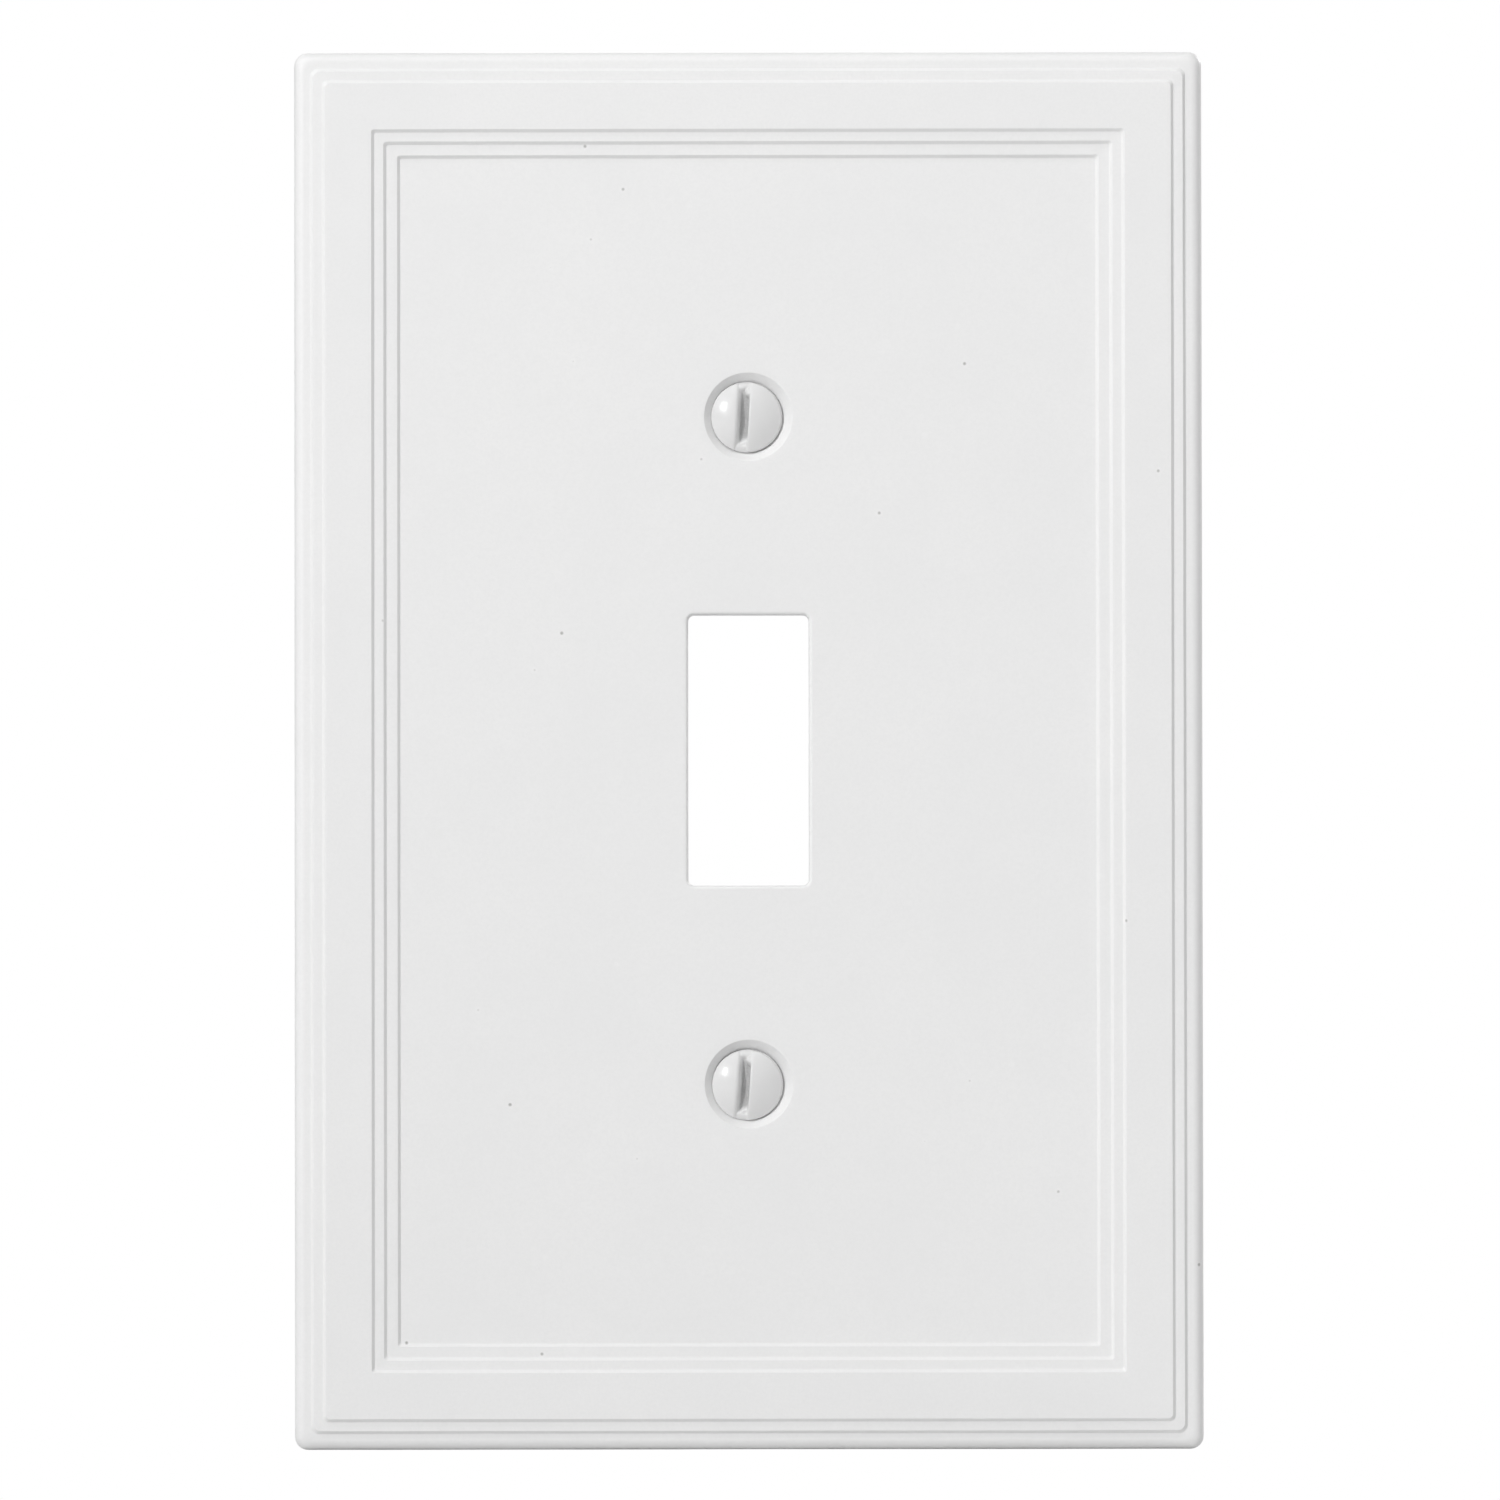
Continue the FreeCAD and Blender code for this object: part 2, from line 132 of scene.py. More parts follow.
def interpolated(table, at):
    """The value at a place in a table of (place, value) pairs, with straight lines between them."""
    for (a, low), (b, high) in zip(table, table[1:]):
        if at <= b:
            return low + (high - low) * (at - a) / (b - a)
    return table[-1][1]


def spaced(marks, pitch):
    """The marks with evenly spaced values between them, about a pitch apart."""
    values = [marks[0]]
    for low, high in zip(marks, marks[1:]):
        count = max(1, round((high - low) / pitch))
        values += [low + (high - low) * i / count for i in range(1, count + 1)]
    return values


class Skin:
    """Collects loops of points and the faces between them, then welds them into one closed mesh."""

    def __init__(self):
        self.mesh = bmesh.new()

    def loop(self, points):
        return [self.mesh.verts.new(p) for p in points]

    def bridge(self, first, second):
        count = len(first)
        for i in range(count):
            j = (i + 1) % count
            self.mesh.faces.new((first[i], first[j], second[j], second[i]))

    def stack(self, loops):
        made = [self.loop(points) for points in loops]
        for first, second in zip(made, made[1:]):
            self.bridge(first, second)
        return made

    def finish(self, name, weld=1e-4):
        bmesh.ops.remove_doubles(self.mesh, verts=self.mesh.verts, dist=weld)
        bmesh.ops.dissolve_degenerate(self.mesh, dist=weld / 10, edges=self.mesh.edges)
        bmesh.ops.recalc_face_normals(self.mesh, faces=self.mesh.faces)
        for face in self.mesh.faces:
            face.smooth = True
        mesh = bpy.data.meshes.new(name)
        self.mesh.to_mesh(mesh)
        self.mesh.free()
        return mesh


# ---------------------------------------------------------------- the casting

# the panel's front and the hollow's floor are grids of faces, given here by their half sizes
FRONT_GRID = (HALF_WIDTH - PANEL_INSET, HALF_HEIGHT - PANEL_INSET)
BACK_GRID = (HALF_WIDTH - FLOOR_INSET, HALF_HEIGHT - FLOOR_INSET)
GRID_PITCH = 0.75
# the grids leave a patch open round each hole: its half width, and where it begins and ends in height
PATCH_X = 8.5
OPENING_PATCH_Z = 16.0
SCREW_Z = (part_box("upper_screw")[0].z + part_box("upper_screw")[1].z) / 2 / MM
SCREW_PATCH = (SCREW_Z - PATCH_X, SCREW_Z + PATCH_X)
# loops across a patch, as shares of the way from its edge to the hole, or from the hole to its edge
FRONT_SHARES = (0, 0.12, 0.26, 0.4, 0.54, 0.67, 0.79, 0.89, 0.96)
BACK_SHARES = (0.06, 0.18, 0.34, 0.5, 0.67, 0.84, 1)
ARC_STEPS = 8  # pieces in each corner's arc
SLACK = 1e-9  # for comparing places that rounding may have moved


def mirrored(positive):
    """The values on both sides of nought, from the smallest to the largest."""
    return [-v for v in reversed(positive)] + [v for v in positive if v > 0]


def grid_lines():
    """The shares of the half width and half height where the panel's grid lines lie, from -1 to 1."""
    rib = [(RIB_X + off) / BACK_GRID[0] for off in (-RIB_FOOT, -RIB_TOP, RIB_TOP, RIB_FOOT)]
    x_marks = mirrored([0, PATCH_X / FRONT_GRID[0]] + rib + [1])
    ends = [(RIB_END - RIB_RAMP) / BACK_GRID[1], RIB_END / BACK_GRID[1]]
    holes = [OPENING_PATCH_Z, SCREW_PATCH[0], SCREW_PATCH[1]]
    z_marks = mirrored([0] + [z / FRONT_GRID[1] for z in holes] + ends + [1])
    return spaced(x_marks, GRID_PITCH / FRONT_GRID[0]), spaced(z_marks, GRID_PITCH / FRONT_GRID[1])


ACROSS, UP = grid_lines()


def frame_loop(inset, height, corner=None):
    """One ring of the stepped frame, as points of a rounded rectangle, anticlockwise from below."""
    r = interpolated(CORNERS, inset) if corner is None else corner
    w, h = HALF_WIDTH - inset, HALF_HEIGHT - inset
    points = []
    for quarter in range(4):
        side = (ACROSS, UP)[quarter % 2]
        length, offset = ((w, h), (h, w))[quarter % 2]
        turn = Matrix.Rotation(math.radians(90 * quarter), 2)
        flat = [(f * (length - r), -offset) for f in side]
        bend = arc((length - r, -offset + r), r, -90, 0, ARC_STEPS)[1:-1]
        points += [turn @ Vector(p) for p in flat + bend]
    return [Vector((p.x, -height, p.y)) for p in points]


def frame_profile():
    """(inset, height) points from the edge of the panel out over the frame and round to the rim."""
    longest = 1.0  # longest face across the frame
    side_heights = (3.2, 2.2, 1.2)  # where the plate's plain sides are divided
    top = [(PANEL_INSET, PANEL)]
    for centre, outside, inside in reversed(RISING_STEPS + FALLING_STEPS):
        top += [(centre + STEP_LEAN, inside), (centre - STEP_LEAN, outside)]
    top.append((OUTER_ROUND, LEDGE_ONE))
    profile = rounded(top, STEP_ROUND)
    filled = [profile[0]]
    for a, b in zip(profile, profile[1:]):
        pieces = max(1, math.ceil(math.dist(a, b) / longest))
        filled += [tuple(Vector(a).lerp(Vector(b), i / pieces)) for i in range(1, pieces + 1)]
    edge = arc((OUTER_ROUND, LEDGE_ONE - OUTER_ROUND), OUTER_ROUND, 90, 180, 12)[1:]
    side = [(0, height) for height in side_heights]
    foot = arc((RIM_ROUND, RIM_ROUND), RIM_ROUND, 180, 270, 4)
    return filled + edge + side + foot


def hollow_profile():
    """(inset, height) points from the rim in and down to the floor of the hollow back."""
    mouth, foot = RIM_WALL - 0.05, RIM_WALL + 0.08  # the hollow's wall leans in a little
    rim = [(inset, 0) for inset in (0.9, 1.7, 2.5)]
    path = [(RIM_ROUND, 0), (mouth, 0), (foot, FLOOR), (FLOOR_INSET, FLOOR)]
    return rim + rounded(path, HOLLOW_ROUND)[1:]


def patch_loop(grid, x_range, z_range):
    """The grid's own points round a rectangular patch, anticlockwise from its lower left corner.

    With them comes the number of faces along its width and along its height.
    """
    xs = [f * grid[0] for f in ACROSS if x_range[0] - SLACK <= f <= x_range[1] + SLACK]
    zs = [f * grid[1] for f in UP if z_range[0] - SLACK <= f <= z_range[1] + SLACK]
    points = [(x, zs[0]) for x in xs[:-1]] + [(xs[-1], z) for z in zs[:-1]]
    points += [(x, zs[-1]) for x in reversed(xs[1:])] + [(xs[0], z) for z in reversed(zs[1:])]
    return points, (len(xs) - 1, len(zs) - 1)


def round_hole(counts, centre, radius):
    """A circle with as many points on each quarter as the patch has on each side."""
    points = []
    for quarter, count in enumerate((counts[0], counts[1], counts[0], counts[1])):
        for i in range(count):
            a = math.radians(-135 + 90 * (quarter + i / count))
            points.append((centre[0] + radius * math.cos(a), centre[1] + radius * math.sin(a)))
    return points


def square_hole(counts, grow):
    """The toggle opening's outline moved out by grow, with as many points on each side as the patch."""
    w, h, r = (size + grow for size in OPENING)
    bend = 4  # points on each half of a corner's arc
    points = []
    for quarter, count in enumerate((counts[0], counts[1], counts[0], counts[1])):
        length, offset = ((w, h), (h, w))[quarter % 2]
        turn = Matrix.Rotation(math.radians(90 * quarter), 2)
        flats = count - 2 * bend
        start = arc((-(length - r), -offset + r), r, -135, -90, bend)[:-1]
        flat = [(-(length - r) + 2 * (length - r) * i / flats, -offset) for i in range(flats)]
        end = arc((length - r, -offset + r), r, -90, -45, bend)[:-1]
        points += [turn @ Vector(p) for p in start + flat + end]
    return [(p[0], p[1]) for p in points]


def hole_loops(x_range, z_range, outline, profile):
    """Loops from the front grid's patch into a hole, through it, and out to the back grid's patch.

    profile is a list of (size, height): outline(counts, size) gives the hole's edge at that size.
    """
    front, counts = patch_loop(FRONT_GRID, x_range, z_range)
    back, _ = patch_loop(BACK_GRID, x_range, z_range)
    loops = []
    first, last = outline(counts, profile[0][0]), outline(counts, profile[-1][0])
    for share in FRONT_SHARES:
        loops.append([(*Vector(a).lerp(Vector(b), share), PANEL) for a, b in zip(front, first)])
    for size, height in profile:
        loops.append([(*p, height) for p in outline(counts, size)])
    for share in BACK_SHARES:
        loops.append([(*Vector(a).lerp(Vector(b), share), FLOOR) for a, b in zip(last, back)])
    return [[Vector((x, -height, z)) for x, z, height in loop] for loop in loops]


def raised_back(across):
    """(size, height) points over the edge of a boss or the collar, down to the floor round it."""
    return [(across, BOSS), (across + BACK_DRAFT, FLOOR), (across + BACK_MARGIN, FLOOR)]


def sink_profile():
    """(radius, height) points down a screw's countersink, through its bore and over its boss."""
    flat = 0.5  # flat face kept round the countersink
    cone_end = PANEL - (SINK_RADIUS - BORE_RADIUS) / SINK_SLOPE
    front = [(SINK_RADIUS + flat, PANEL), (SINK_RADIUS, PANEL)]
    bore = [(BORE_RADIUS, cone_end), (BORE_RADIUS, BOSS)]
    return rounded(front + bore + raised_back(BOSS_RADIUS), SINK_ROUND, 3)


def opening_profile():
    """(growth, height) points over the toggle opening's front edge, through it and over its collar."""
    front = arc((OPENING_ROUND, PANEL - OPENING_ROUND), OPENING_ROUND, 90, 180, 6)
    wall = [(0, FLOOR + above) for above in (1.6, 0.9, 0.2)]
    back = [(0, FLOOR), (0, BOSS)] + raised_back(COLLAR_WIDTH)
    return front + wall + rounded(back, BACK_ROUND, 3)[1:]


WAVE_DEPTH, RIPPLE_DEPTH = 0.013, 0.005


def wavy(p):
    """How far a cast surface strays from its drawing here: long waves, and a little short ripple."""
    waves = Vector((p.x / 11, p.y * 2.1, p.z / 11))
    ripple = Vector((p.x / 2.6, p.y * 3.7 + 9, p.z / 2.6))
    return noise.noise_vector(waves) * WAVE_DEPTH + noise.noise_vector(ripple) * RIPPLE_DEPTH


def panel_faces(skin, grid, height, holes):
    """A flat grid with its hole patches left open. The back grid carries the long ribs."""
    verts = {}
    for i, f in enumerate(ACROSS):
        for j, g in enumerate(UP):
            x, z = f * grid[0], g * grid[1]
            rise = rib_rise(x, z) if grid is BACK_GRID else 0
            verts[i, j] = skin.mesh.verts.new((x, -(height - rise), z))
    for i in range(len(ACROSS) - 1):
        for j in range(len(UP) - 1):
            f = (ACROSS[i] + ACROSS[i + 1]) / 2
            g = (UP[j] + UP[j + 1]) / 2
            if not any(x[0] < f < x[1] and z[0] < g < z[1] for x, z in holes):
                corners = ((i, j), (i + 1, j), (i + 1, j + 1), (i, j + 1))
                skin.mesh.faces.new([verts[corner] for corner in corners])


def rib_rise(x, z):
    """How far the long ribs stand out of the hollow's floor at a place."""
    beside = (RIB_FOOT - abs(abs(x) - RIB_X)) / (RIB_FOOT - RIB_TOP)
    along = (RIB_END - abs(z)) / RIB_RAMP
    return (FLOOR - BOSS) * max(0.0, min(1.0, beside, along))


def hollow_corner(inset):
    """The plan radius of the rim's and the hollow's corners, down to square where the grid begins."""
    return 0.0 if inset >= FLOOR_INSET - SLACK else min(2.0, 1.2 + inset * 0.25)


def casting():
    """The face plate as one closed skin, front, edges, back and the three holes through it."""
    skin = Skin()
    loops = [frame_loop(inset, height) for inset, height in frame_profile()]
    for inset, height in hollow_profile():
        loops.append(frame_loop(inset, height, hollow_corner(inset)))
    skin.stack(loops)
    x_patch = (-PATCH_X / FRONT_GRID[0], PATCH_X / FRONT_GRID[0])
    z_screw = tuple(z / FRONT_GRID[1] for z in SCREW_PATCH)
    z_opening = (-OPENING_PATCH_Z / FRONT_GRID[1], OPENING_PATCH_Z / FRONT_GRID[1])
    holes = [(x_patch, z_screw), (x_patch, (-z_screw[1], -z_screw[0])), (x_patch, z_opening)]
    for height, hole in ((SCREW_Z, holes[0]), (-SCREW_Z, holes[1])):
        def outline(counts, radius):
            return round_hole(counts, (0, height), radius)
        skin.stack(hole_loops(*hole, outline, sink_profile()))
    skin.stack(hole_loops(*holes[2], square_hole, opening_profile()))
    panel_faces(skin, FRONT_GRID, PANEL, holes)
    panel_faces(skin, BACK_GRID, FLOOR, holes)
    mesh = skin.finish("plate_casting")
    for v in mesh.vertices:
        v.co = (v.co + wavy(v.co)) * MM
    piece = linked("plate_casting", mesh)
    normals = piece.modifiers.new("normals", "WEIGHTED_NORMAL")
    normals.mode = "FACE_AREA"
    normals.keep_sharp = False
    return piece


# ---------------------------------------------------------------- the screws

HEAD_RADIUS = 3.18  # the head with its coat of enamel
HEAD_EDGE = 0.32  # rounding of the head's rim
HEAD_RISE = 1.05  # height of the dome's top above the rim
UNDER_EDGE = 0.1  # rounding below the rim, where the head's cone begins
SKIRT = 0.1  # how much wider than its drawing the enamel leaves the cone
SEAT_MARGIN = 0.025  # clearance between the rim and the countersink where they come closest
DOME_REACH = (HEAD_RADIUS - HEAD_EDGE)**2 + HEAD_RISE**2 - HEAD_EDGE**2
DOME_RADIUS = DOME_REACH / (2 * (HEAD_RISE - HEAD_EDGE))
CONE_SHEAR = 0.12  # this far below the rim the cone is back in the middle of its seat
NECK_RADIUS = 1.3
NECK_OVERLAP = 0.2  # how far the thread's neck runs up inside the head
ROOT_RADIUS = 1.323
CREST_RADIUS = 1.7526
PITCH = 0.79375
THREAD_END = 1.45  # height above the wall where the thread has run out into the neck
SLOT_SHIFT = -0.32  # the slot is cut left of the head's middle
SLOT_HALF = 0.58
SLOT_LEAN = 0.08  # how far the slot's right wall leans in at its foot
SLOT_DEPTH = 1.0  # below the top of the dome
FILL_RADIUS = 2.98  # how far out the enamel in the slot reaches at the height of the rim
SLOT_END = 2.45  # how far from the middle the deep part of the slot reaches
PAINT_SLOPE = 0.54  # how far the enamel's slope reaches from the slot's left wall
PAINT_VOXEL = 0.055  # grain of the head's even mesh
LIP_DROP, LIP_WIDTH = 0.03, 0.22  # the enamel rounds down into the slot along both of its edges
# each head sits a little off the middle of its countersink, and so a little up its slope
SCREWS = {
    "upper": {"turn": -3.2, "seed": 3, "off": Vector((-0.18, -0.01))},
    "lower": {"turn": -4.0, "seed": 8, "off": Vector((-0.17, -0.09))},
}


def lathe(skin, profile, count, closed=False):
    """Turn (radius, height) points round the skin's own Z axis.

    Ends that lie on the axis close by themselves.
    """
    loops = []
    for radius, height in profile:
        angles = [2 * math.pi * i / count for i in range(count)]
        loops.append([Vector((radius * math.cos(a), radius * math.sin(a), height)) for a in angles])
    made = skin.stack(loops)
    if closed:
        skin.bridge(made[-1], made[0])
    return made


def baked(piece):
    """The piece's mesh with its modifiers applied, in a fresh mesh; the piece itself is removed."""
    graph = bpy.context.evaluated_depsgraph_get()
    mesh = bpy.data.meshes.new_from_object(piece.evaluated_get(graph))
    bpy.data.objects.remove(piece)
    return mesh


def eased(share):
    """Nought to one, starting and ending gently."""
    share = max(0.0, min(1.0, share))
    return share * share * (3 - 2 * share)


def dome_height(x, y):
    """Height of the unslotted dome above the rim."""
    return HEAD_RISE - DOME_RADIUS + math.sqrt(DOME_RADIUS**2 - x**2 - y**2)


def head_blank(off):
    """The oval head before its slot is cut, its rim's widest circle at zero and its dome pointing up.

    The rim and the dome are off the middle of the countersink, while the cone below stays in it.
    """
    spread = math.degrees(math.asin((HEAD_RADIUS - HEAD_EDGE) / (DOME_RADIUS - HEAD_EDGE)))
    dome = arc((0, HEAD_RISE - DOME_RADIUS), DOME_RADIUS, 90, 90 - spread, 14)
    edge = arc((HEAD_RADIUS - HEAD_EDGE, 0), HEAD_EDGE, 90 - spread, 0, 6)
    edge += arc((HEAD_RADIUS - UNDER_EDGE, 0), UNDER_EDGE, 0, -SINK_HALF_ANGLE, 4)[1:]
    foot = edge[-1][1] - (edge[-1][0] - NECK_RADIUS) / SINK_SLOPE
    skin = Skin()
    lathe(skin, [(max(x, 0), y) for x, y in dome] + edge[1:] + [(NECK_RADIUS, foot), (0, foot)], 96)
    for v in skin.mesh.verts:
        share = eased(-v.co.z / CONE_SHEAR)
        v.co.xy = v.co.xy * (1 + share * SKIRT / HEAD_RADIUS) - off * share
    return linked("head_blank", skin.finish("head_blank", 1e-5))


def slot_cutter():
    """A long bar as wide as the slot, with its right wall a touch out of square."""
    above, foot = HEAD_RISE + 0.5, HEAD_RISE - SLOT_DEPTH
    left = [(-SLOT_HALF, above), (-SLOT_HALF, foot)]
    section = left + [(SLOT_HALF - SLOT_LEAN, foot), (SLOT_HALF, HEAD_RISE), (SLOT_HALF, above)]
    skin = Skin()
    ends = [skin.loop([Vector((x + SLOT_SHIFT, y, z)) for x, z in section]) for y in (-5.0, 5.0)]
    skin.bridge(*ends)
    for end in ends:
        skin.mesh.faces.new(end)
    return linked("slot_cutter", skin.finish("slot_cutter", 1e-5))


def paint_depth(across, along, seed):
    """How far below the dome the enamel stands in the slot, across and along from the slot's middle.

    It has dried as a slope down the left wall, it fills both ends, and it leaves a drop at the upper
    right and a shallow pool at the lower right.
    """
    wander = noise.noise(Vector((across / 0.6, along / 0.8, seed * 3.1)))
    slope = max(0.0, (across + SLOT_HALF) / PAINT_SLOPE)
    left = 0.05 + 0.85 * slope**1.4 + 0.12 * wander * min(slope, 1)
    end = 0.12 + 1.1 * eased((SLOT_END + 0.2 * wander + 0.35 - abs(along)) / 1.1)
    drop = 0.02 + 0.5 * math.hypot((across - 0.42) / 0.3, (along - 2.35) / 0.5)**2
    pool = 0.32 + 0.9 * eased((along + 2.3 + 0.6 * (0.4 - across)) / 1.1)
    return min(left, end, drop, pool)


def paint_fill(mesh, seed):
    """Add the enamel that has dried in the slot, as a closed block with a shaped top."""
    overlap, reach, lowest = 0.1, 3.05, -0.4  # into the slot's walls, out to its ends and downwards
    xs = spaced([-SLOT_HALF - overlap, SLOT_HALF + overlap], 0.06)
    ys = spaced([-reach, reach], 0.1)
    block = bmesh.new()
    block.from_mesh(mesh)
    layers = []
    for across in xs:
        row = []
        for along in ys:
            x = across + SLOT_SHIFT
            top = dome_height(x, along) - max(0.02, paint_depth(across, along, seed))
            cone = (math.hypot(x, along) - FILL_RADIUS) / SINK_SLOPE
            heights = max(top, lowest / 2), max(cone, lowest)
            row.append([block.verts.new((x, along, z)) for z in heights])
        layers.append(row)
    for level, flip in ((0, False), (1, True)):
        for a, b in zip(layers, layers[1:]):
            for i in range(len(ys) - 1):
                corners = [a[i][level], b[i][level], b[i + 1][level], a[i + 1][level]]
                block.faces.new(reversed(corners) if flip else corners)
    outline = [row[0] for row in layers] + layers[-1][1:-1]
    outline += [row[-1] for row in reversed(layers)] + layers[0][-2:0:-1]
    for here, ahead in zip(outline, outline[1:] + outline[:1]):
        block.faces.new((here[0], here[1], ahead[1], ahead[0]))
    block.to_mesh(mesh)
    block.free()


def head_mesh(name, seed, off):
    """The slotted head as one soft skin, as thick enamel leaves it, in millimetres."""
    blank, cutter = head_blank(off), slot_cutter()
    cut = blank.modifiers.new("slot", "BOOLEAN")
    cut.operation, cut.object, cut.solver = "DIFFERENCE", cutter, "EXACT"
    mesh = baked(blank)
    bpy.data.objects.remove(cutter)
    paint_fill(mesh, seed)
    soft = linked("soft_head", mesh)
    even = soft.modifiers.new("even", "REMESH")
    even.mode, even.voxel_size = "VOXEL", PAINT_VOXEL
    ease = soft.modifiers.new("ease", "SMOOTH")
    ease.factor, ease.iterations = 0.5, 4
    mesh = baked(soft)
    mesh.name = name
    thin = mesh.attributes.new("thin_paint", "FLOAT", "POINT")
    shares = []
    for v in mesh.vertices:
        beside = abs(v.co.x - SLOT_SHIFT) - SLOT_HALF
        under = dome_height(v.co.x, v.co.y) - v.co.z
        if beside > 0.06 and abs(under) < 0.06:
            v.co.z += under * eased((beside - 0.06) / 0.12)
        if under < 0.1:
            v.co.z -= LIP_DROP * (1 - eased(beside / LIP_WIDTH))
        if beside > 0 or v.co.z < -0.1 or abs(v.co.y) > 2.8:
            under = 0.0
        ripple = noise.noise_vector(Vector((v.co.x / 0.3, v.co.y / 0.7, v.co.z / 0.35 + seed * 5)))
        swell = noise.noise_vector(v.co / 1.6 + Vector((seed, 0, 7)))
        v.co += ripple * 0.045 * eased(under / 0.45) + swell * 0.01
        shares.append(eased((under - 0.3) / 0.45))
    thin.data.foreach_set("value", shares)
    mesh.shade_smooth()
    return mesh


def upright(turn, centre):
    """Place a piece drawn pointing up +Z so that it points out of the wall, leaning by turn degrees."""
    stand = Matrix.Rotation(math.radians(90), 4, "X") @ Matrix.Rotation(math.radians(turn), 4, "Z")
    return Matrix.Translation(centre) @ stand


def screw_head(which):
    """An enamelled head, raised just enough to clear its seat where it sits off the middle."""
    low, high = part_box(which + "_screw")
    settings = SCREWS[which]
    off = settings["off"]
    mesh = head_mesh(which + "_screw_head", settings["seed"], off)
    mesh.transform(Matrix.Scale(MM, 4))
    rim = -low.y / MM - HEAD_RISE
    seat_radius = SINK_RADIUS - (PANEL - rim) * SINK_SLOPE
    lift = (HEAD_RADIUS + off.length + SEAT_MARGIN - seat_radius) / SINK_SLOPE
    centre = Vector((off.x * MM, -(rim + lift) * MM, (low.z + high.z) / 2 + off.y * MM))
    mesh.transform(upright(settings["turn"], centre))
    return linked(which + "_screw_head", mesh)


def thread_radius(share):
    """The thread's radius at a share of one pitch, from root through flank to crest and back."""
    flank = (CREST_RADIUS - ROOT_RADIUS) * math.tan(math.radians(30)) / PITCH
    root_half = 0.125
    away = abs((share % 1.0) - 0.5)
    rise = (away - root_half) / flank
    return ROOT_RADIUS + (CREST_RADIUS - ROOT_RADIUS) * max(0.0, min(1.0, rise))


def screw_thread(which):
    """The plated shank: a helical skin whose radius follows the thread, cut flat at the tip."""
    low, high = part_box(which + "_screw")
    top = -low.y / MM - HEAD_RISE  # the head's rim above the wall
    tip = -high.y / MM
    neck_end = top - (HEAD_RADIUS - NECK_RADIUS) / SINK_SLOPE + NECK_OVERLAP
    shares = [0, 0.12, 0.245, 0.3, 0.375, 0.44, 0.5, 0.56, 0.625, 0.7, 0.755, 0.88]
    around = 48
    turns = math.ceil((neck_end - tip) / PITCH) + 2
    mesh = bmesh.new()
    rows = []
    for n in range(turns * around):
        row = []
        for share in shares:
            z = tip + PITCH * (n / around + share - 1.5)
            run_out = NECK_RADIUS + max(0.0, THREAD_END - z)
            point = NECK_RADIUS + max(0.0, z - tip)
            r = min(thread_radius(share), max(NECK_RADIUS, min(run_out, point)))
            a = 2 * math.pi * n / around
            row.append(mesh.verts.new((r * math.cos(a), r * math.sin(a), z)))
        rows.append(row)
    for n in range(len(rows) - around - 1):
        ladder = rows[n] + [rows[n + around][0]], rows[n + 1] + [rows[n + 1 + around][0]]
        for k in range(len(shares)):
            mesh.faces.new((ladder[0][k], ladder[1][k], ladder[1][k + 1], ladder[0][k + 1]))
    for height, normal in ((tip, (0, 0, -1)), (neck_end, (0, 0, 1))):
        geometry = mesh.verts[:] + mesh.edges[:] + mesh.faces[:]
        cut = bmesh.ops.bisect_plane(
            mesh, geom=geometry, plane_co=(0, 0, height), plane_no=normal, clear_outer=True,
        )
        rim = [e for e in cut["geom_cut"] if isinstance(e, bmesh.types.BMEdge)]
        bmesh.ops.contextual_create(mesh, geom=rim)
    skin = Skin()
    skin.mesh.free()
    skin.mesh = mesh
    data = skin.finish(which + "_screw_thread", 1e-4)
    data.transform(Matrix.Scale(MM, 4))
    data.transform(upright(SCREWS[which]["turn"], Vector((0, 0, (low.z + high.z) / 2))))
    return linked(which + "_screw_thread", data)


# ---------------------------------------------------------------- the captive washers


def washer(which):
    """A thin plastic ring with eased edges and the slight dish that punching leaves."""
    low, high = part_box(which + "_captive_washer")
    outer, thick, inner, edge = (high.x - low.x) / 2 / MM, (high.y - low.y) / MM, 1.8, 0.12
    section = []
    for across, up, start in ((outer, thick, 0), (inner, thick, 90), (inner, 0, 180), (outer, 0, 270)):
        away = -edge if across == outer else edge
        section += arc((across + away, up + (edge if up == 0 else -edge)), edge, start, start + 90, 4)
    skin = Skin()
    lathe(skin, section, 72, closed=True)
    mesh = skin.finish(which + "_washer_ring", 1e-5)
    for v in mesh.vertices:
        ripple = noise.noise(v.co / 1.3 + Vector((0, 0, 4 if which == "upper" else 9)))
        v.co.z += 0.012 * ripple
    mesh.transform(Matrix.Scale(MM, 4))
    centre = Vector(((low.x + high.x) / 2, high.y, (low.z + high.z) / 2))
    mesh.transform(upright(0, centre))
    return linked(which + "_washer_ring", mesh)


# ---------------------------------------------------------------- materials


